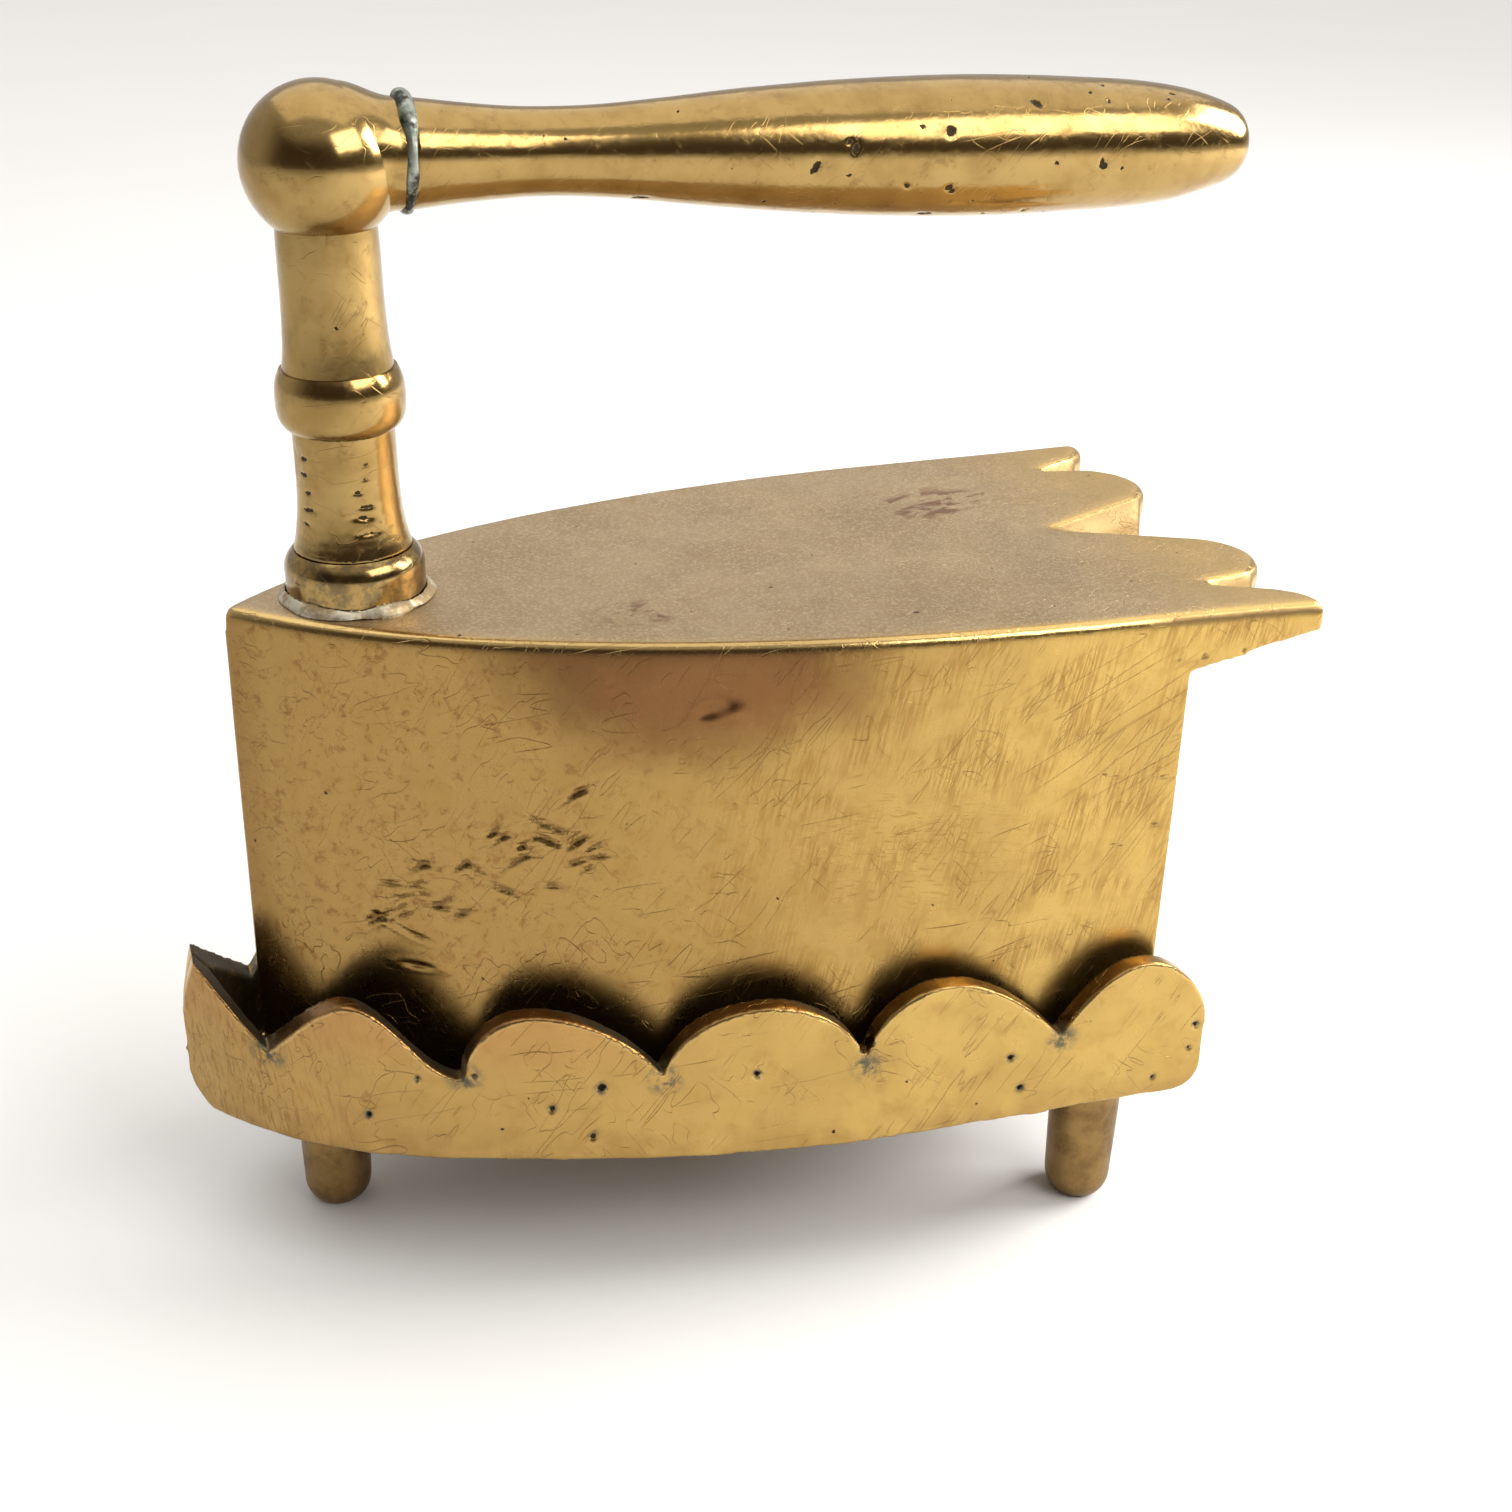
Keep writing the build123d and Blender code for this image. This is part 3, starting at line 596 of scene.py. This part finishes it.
def near_side_dents(wear, rng):
    """The dents and cuts that only the near side has."""
    # A patch in the toe half, which rises away from the toe.
    for _ in range(42):
        along = rng.random()
        x, _, z = spot(0.17 + 0.19 * along, 0.0, 0.35 + 0.08 * along)
        x += rng.gauss(0, 0.5)
        z += rng.gauss(0, 1.7)
        slope = rng.uniform(-0.5, 0.9)
        wear.dash((x, body_side_y(x), z), (1, -0.45, slope), rng.uniform(0.7, 1.9), rng.uniform(0.16, 0.26),
                  rng.uniform(0.08, 0.15), 0.85)
    # A raised bump high up, with a small hollow beside it.
    x, _, z = spot(0.46, 0.0, 0.535)
    wear.dash((x, body_side_y(x), z), (1, -0.3, 0.3), 1.3, 0.9, -0.22, 0.0, 0.0)
    wear.dash((x - 1.2, body_side_y(x - 1.2), z + 0.2), (1, -0.3, 0.3), 0.8, 0.5, 0.14, 0.25)
    # Cuts by the heel.
    for _ in range(4):
        x, _, z = spot(rng.uniform(0.76, 0.86), 0.0, rng.uniform(0.34, 0.46))
        wear.dash((x, body_side_y(x), z), (1, 0, -0.25), rng.uniform(0.8, 1.6), 0.2, 0.06, 0.6)


def gallery_wear(wear):
    """Hand-filed unevenness of the gallery, dirt in its notches, and casting holes in its outer face."""
    notch_stations = (-29.2, -18.5, -7.2, 5.0, 17.7)
    notch_z = 15.4
    dirt_reach = 0.9
    wear.wave(6.0, 0.05, 11)
    wear.wave(1.8, 0.02, 12)
    for x in notch_stations:
        reach = np.hypot(wear.points[:, 0] - x, wear.points[:, 2] - notch_z)
        wear.grime = np.maximum(wear.grime, np.clip(1.5 - reach / dirt_reach, 0, 1))
    rng = random.Random(SEED + 13)
    outward = wear.normals[:, 1] * np.sign(wear.points[:, 1])
    low_part = (wear.points[:, 2] > 11) & (wear.points[:, 2] < 15.5)
    outer = wear.points[(outward > 0.8) & low_part]
    for _ in range(11):
        centre = outer[rng.randrange(len(outer))]
        size = rng.choice((0.22, 0.34, 0.5))
        wear.dash(centre, (1, 0, rng.uniform(-2, 2)), size * 1.3, size, 0.2, 2.2, 0.0)


def solder_lumps(wear):
    """Lumpy surface of a run of solder, thicker at the grip."""
    at_grip = wear.points[:, 2] > 55
    wear.move += np.where(at_grip, 0.16, 0.0)
    wear.wave(2.6, 0.16, 21)
    wear.wave(1.2, 0.03, 22)


def column_nicks(wear):
    """Short level nicks up the front and the left of the lower column."""
    rng = random.Random(SEED + 31)
    low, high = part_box("post_lower_column")
    centre_x = (low[0] + high[0]) / 2 / MM
    bottom = low[2] / MM
    radius = 2.95
    wear.wave(2.5, 0.012, 33)
    for direction, count in ((-1.45, 7), (-2.6, 6)):
        for index in range(count):
            z = bottom + 0.9 + index * 5.6 / count + rng.uniform(-0.2, 0.2)
            turn = direction + rng.uniform(-0.1, 0.1)
            out = (math.cos(turn), math.sin(turn))
            centre = (centre_x + radius * out[0], radius * out[1], z)
            wear.dash(centre, (-out[1], out[0], rng.uniform(-0.15, 0.15)), rng.uniform(0.4, 0.9), 0.2,
                      rng.uniform(0.05, 0.09), 0.95, 0.0)


def grip_pits(wear):
    """Ragged casting holes, most of them towards the free end of the grip."""
    rng = random.Random(SEED + 51)
    low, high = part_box("handle_grip")
    middle_z = (low[2] + high[2]) / 2 / MM
    radius = 3.7
    wear.wave(5.0, 0.014, 52)
    for _ in range(60):
        x = rng.triangular(-8.0, 31.0, 24.0)
        turn = rng.uniform(-math.pi, math.pi)
        centre = np.array((x, radius * math.sin(turn), middle_z + radius * math.cos(turn)))
        centre = nearest(wear.points, centre)
        size = rng.choice((0.14, 0.18, 0.32))
        axis = (rng.uniform(0.2, 1), rng.uniform(-1, 1), rng.uniform(-1, 1))
        wear.dash(centre, axis, size * 2.2, size, 0.06, 1.2, 0.0)
        if size > 0.2:
            beside = centre + np.array((rng.uniform(-0.4, 0.4), 0, rng.uniform(-0.4, 0.4)))
            wear.dash(nearest(wear.points, beside), axis[::-1], size * 1.6, size * 0.7, 0.05, 1.2, 0.0)
    wear.grime = np.clip(wear.grime, 0, 1)


def nearest(points, place):
    """The mesh point nearest to a place."""
    return points[np.argmin(((points - place) ** 2).sum(axis=1))]


# ---------------------------------------------------------------- pieces

LOOKS = {
    "body_brass": body_brass(),
    "gallery_brass": gallery_brass(),
    "polished_brass": polished_brass("polished_brass_look", True),
    "grip_brass": polished_brass("grip_brass_look", False),
    "foot_brass": dull_brass("foot_brass_look", (0.30, 0.19, 0.07), (0.17, 0.10, 0.038), 0.32),
    "trivet_brass": dull_brass("trivet_brass_look", (0.20, 0.135, 0.055), (0.09, 0.06, 0.03), 0.5),
    "sole_brass": dull_brass("sole_brass_look", (0.66, 0.46, 0.18), (0.48, 0.31, 0.11), 0.3),
    "door_brass": dull_brass("door_brass_look", (0.74, 0.50, 0.19), (0.58, 0.37, 0.12), 0.27),
    "solder": solder_look(),
    "rail_iron": iron_look("rail_iron_look", (0.16, 0.13, 0.11), (0.30, 0.25, 0.21), 0.5),
    "slug_iron": iron_look("slug_iron_look", (0.10, 0.085, 0.08), (0.22, 0.19, 0.17), 0.55),
    "pin_steel": iron_look("pin_steel_look", (0.34, 0.31, 0.28), (0.46, 0.43, 0.40), 0.32),
}
SLOT_OF = {part["node"]: part["material_slot"] for part in frame["record"]["subparts"]}
BODY_OF = {node: body for body, nodes in frame["record"]["behaviour"]["bodies"].items() for node in nodes}


def paint(obj, look):
    """One look over the whole object."""
    if not obj.material_slots:
        obj.data.materials.append(look)
    for material_slot in obj.material_slots:
        material_slot.material = look


WORN = {
    "body_casting": (0.18, 3, body_wear, (40.6, 28.5, 36)),
    "gallery_left": (0.14, 9, gallery_wear),
    "gallery_right": (0.14, 9, gallery_wear),
    "grip_solder_ring": (0.07, 1, solder_lumps),
    "foot_solder_bead": (0.07, 1, solder_lumps),
    "post_lower_column": (0.09, 2, column_nicks),
    "handle_grip": (0.13, 3, grip_pits),
}

for node, obj in frame["nodes"].items():
    paint(obj, LOOKS[SLOT_OF[node]])

for node, wear_settings in WORN.items():
    piece = worn_copy(node, *wear_settings)
    paint(piece, LOOKS[SLOT_OF[node]])
    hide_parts(node)
    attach(piece, BODY_OF[node])


# ---------------------------------------------------------------- floor, light and camera

ROOM = (0.09, 0.07, 0.055)
SKY = (0.62, 0.60, 0.58)


def floor_look():
    g = Graph("floor_look")
    colour = g.mix(g.noise(60.0, 2.0), (0.86, 0.86, 0.855), (0.83, 0.83, 0.825))
    return g.finish(colour, 0.85, g.noise(2.0), 0.02, 0.0)


def add_floor():
    """Large plain floor under the feet."""
    mesh = bpy.data.meshes.new("floor")
    half = 3.0
    corners = [(-half, -half, 0), (half, -half, 0), (half, half, 0), (-half, half, 0)]
    mesh.from_pydata(corners, [], [(0, 1, 2, 3)])
    floor = bpy.data.objects.new("floor", mesh)
    bpy.context.scene.collection.objects.link(floor)
    paint(floor, floor_look())


def add_soft_light(name, azimuth, elevation, distance, width, height, power, target=(0, 0, 0.035)):
    """Area light aimed at a point. Azimuth 0 is in front, and 90 to the right."""
    light = bpy.data.lights.new(name, "AREA")
    light.shape = "RECTANGLE"
    light.size = width
    light.size_y = height
    light.energy = power
    light.color = (1.0, 0.98, 0.95)
    obj = bpy.data.objects.new(name, light)
    turn = math.radians(azimuth)
    lift = math.radians(elevation)
    away = Vector((math.sin(turn) * math.cos(lift), -math.cos(turn) * math.cos(lift), math.sin(lift)))
    obj.location = Vector(target) + away * distance
    obj.rotation_euler = away.to_track_quat("Z", "Y").to_euler()
    bpy.context.scene.collection.objects.link(obj)


def smooth_ramp(tree, value, low, high):
    """Smooth step of a value in the world's node tree."""
    ramp = tree.nodes.new("ShaderNodeMapRange")
    ramp.interpolation_type = "SMOOTHSTEP"
    tree.links.new(value, ramp.inputs["Value"])
    ramp.inputs["From Min"].default_value = low
    ramp.inputs["From Max"].default_value = high
    return ramp.outputs[0]


def add_world():
    """Dim room in front, pale sky behind and above."""
    world = bpy.data.worlds.new("room")
    bpy.context.scene.world = world
    world.use_nodes = True
    tree = world.node_tree
    tree.nodes.clear()
    place = tree.nodes.new("ShaderNodeTexCoord")
    split = tree.nodes.new("ShaderNodeSeparateXYZ")
    tree.links.new(place.outputs["Generated"], split.inputs[0])
    most = tree.nodes.new("ShaderNodeMath")
    most.operation = "MAXIMUM"
    tree.links.new(smooth_ramp(tree, split.outputs["Y"], -0.5, 0.45), most.inputs[0])
    tree.links.new(smooth_ramp(tree, split.outputs["Z"], 0.45, 0.8), most.inputs[1])
    mix = tree.nodes.new("ShaderNodeMix")
    mix.data_type = "RGBA"
    tree.links.new(most.outputs[0], mix.inputs["Factor"])
    mix.inputs[6].default_value = (*ROOM, 1.0)
    mix.inputs[7].default_value = (*SKY, 1.0)
    background = tree.nodes.new("ShaderNodeBackground")
    tree.links.new(mix.outputs[2], background.inputs["Color"])
    output = tree.nodes.new("ShaderNodeOutputWorld")
    tree.links.new(background.outputs[0], output.inputs["Surface"])


def add_camera():
    """Camera to the left of the toe, looking down on the near side."""
    yaw, pitch, roll = 0.3440, 0.4494, 0.0275
    forward = Vector((math.sin(yaw) * math.cos(pitch), math.cos(yaw) * math.cos(pitch), -math.sin(pitch)))
    right = Vector((math.cos(yaw), -math.sin(yaw), 0.0))
    up = right.cross(forward)
    rolled_right = math.cos(roll) * right + math.sin(roll) * up
    rolled_up = math.cos(roll) * up - math.sin(roll) * right
    data = bpy.data.cameras.new("camera")
    data.sensor_width = 36.0
    data.lens = 48.21
    data.clip_start = 0.002
    data.clip_end = 20.0
    camera = bpy.data.objects.new("camera", data)
    camera.matrix_world = Matrix((
        (rolled_right.x, rolled_up.x, -forward.x, -0.0364),
        (rolled_right.y, rolled_up.y, -forward.y, -0.1113),
        (rolled_right.z, rolled_up.z, -forward.z, 0.0854),
        (0, 0, 0, 1)))
    bpy.context.scene.collection.objects.link(camera)
    bpy.context.scene.camera = camera


bpy.context.scene.view_settings.view_transform = "Standard"
add_floor()
add_world()
add_soft_light("key", 38, 37, 0.6, 0.40, 0.26, 1.9)
add_soft_light("right", 95, 45, 0.3, 0.2, 0.2, 1.8, (0.14, -0.04, 0.0))
add_soft_light("overhead", 165, 72, 1.5, 2.4, 2.2, 16.5)
add_camera()
